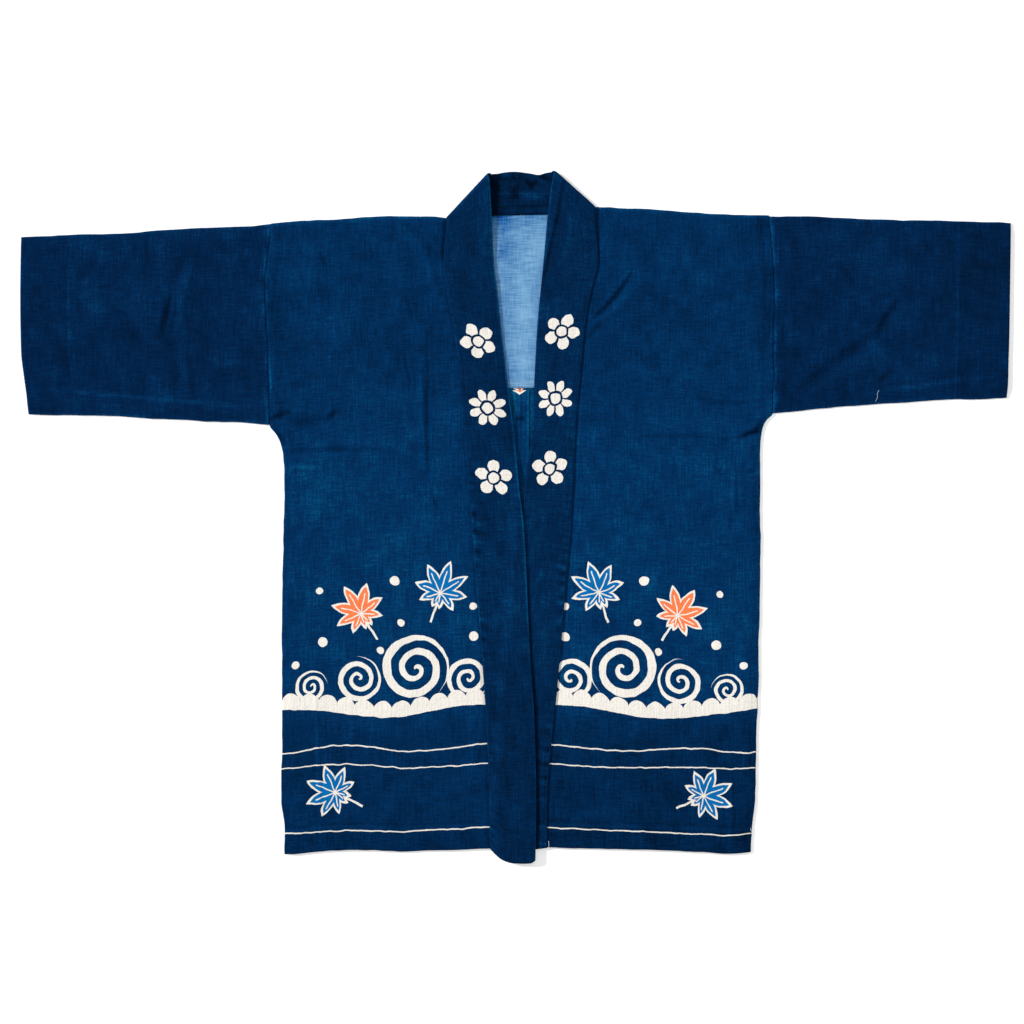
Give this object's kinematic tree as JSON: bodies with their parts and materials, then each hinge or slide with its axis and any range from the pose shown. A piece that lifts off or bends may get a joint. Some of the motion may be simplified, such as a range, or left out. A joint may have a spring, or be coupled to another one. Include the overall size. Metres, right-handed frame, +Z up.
{
  "type": "happi coat",
  "caption": "Short straight-sleeved happi coat laid flat, front up: folded-over collar band, light shoulder lining at the neck, printed hem.",
  "frame": {"origin": "on the surface the coat lies on, in the middle of its footprint", "axes": "+X from the right cuff to the left cuff (the wearer's), +Y from hem to neck, +Z up out of the front"},
  "size_m": [1.2382, 0.8652, 0.0104],
  "materials": {
    "body_cloth": "indigo-dyed plain-weave cotton with slubs, matt, faded along seams; printed pattern above the hem",
    "sleeve_cloth": "the same indigo cotton, a little darker",
    "collar_cloth": "doubled indigo cotton, stiff, puckered along its seam",
    "lining_cloth": "light blue plain cotton, matt"
  },
  "bodies": {
    "root": {"back_right": "body_cloth", "front_right": "body_cloth", "sleeve_right": "sleeve_cloth", "back_left": "body_cloth", "front_left": "body_cloth", "sleeve_left": "sleeve_cloth", "collar": "collar_cloth", "shoulder_lining": "lining_cloth"}
  },
  "joints": []
}
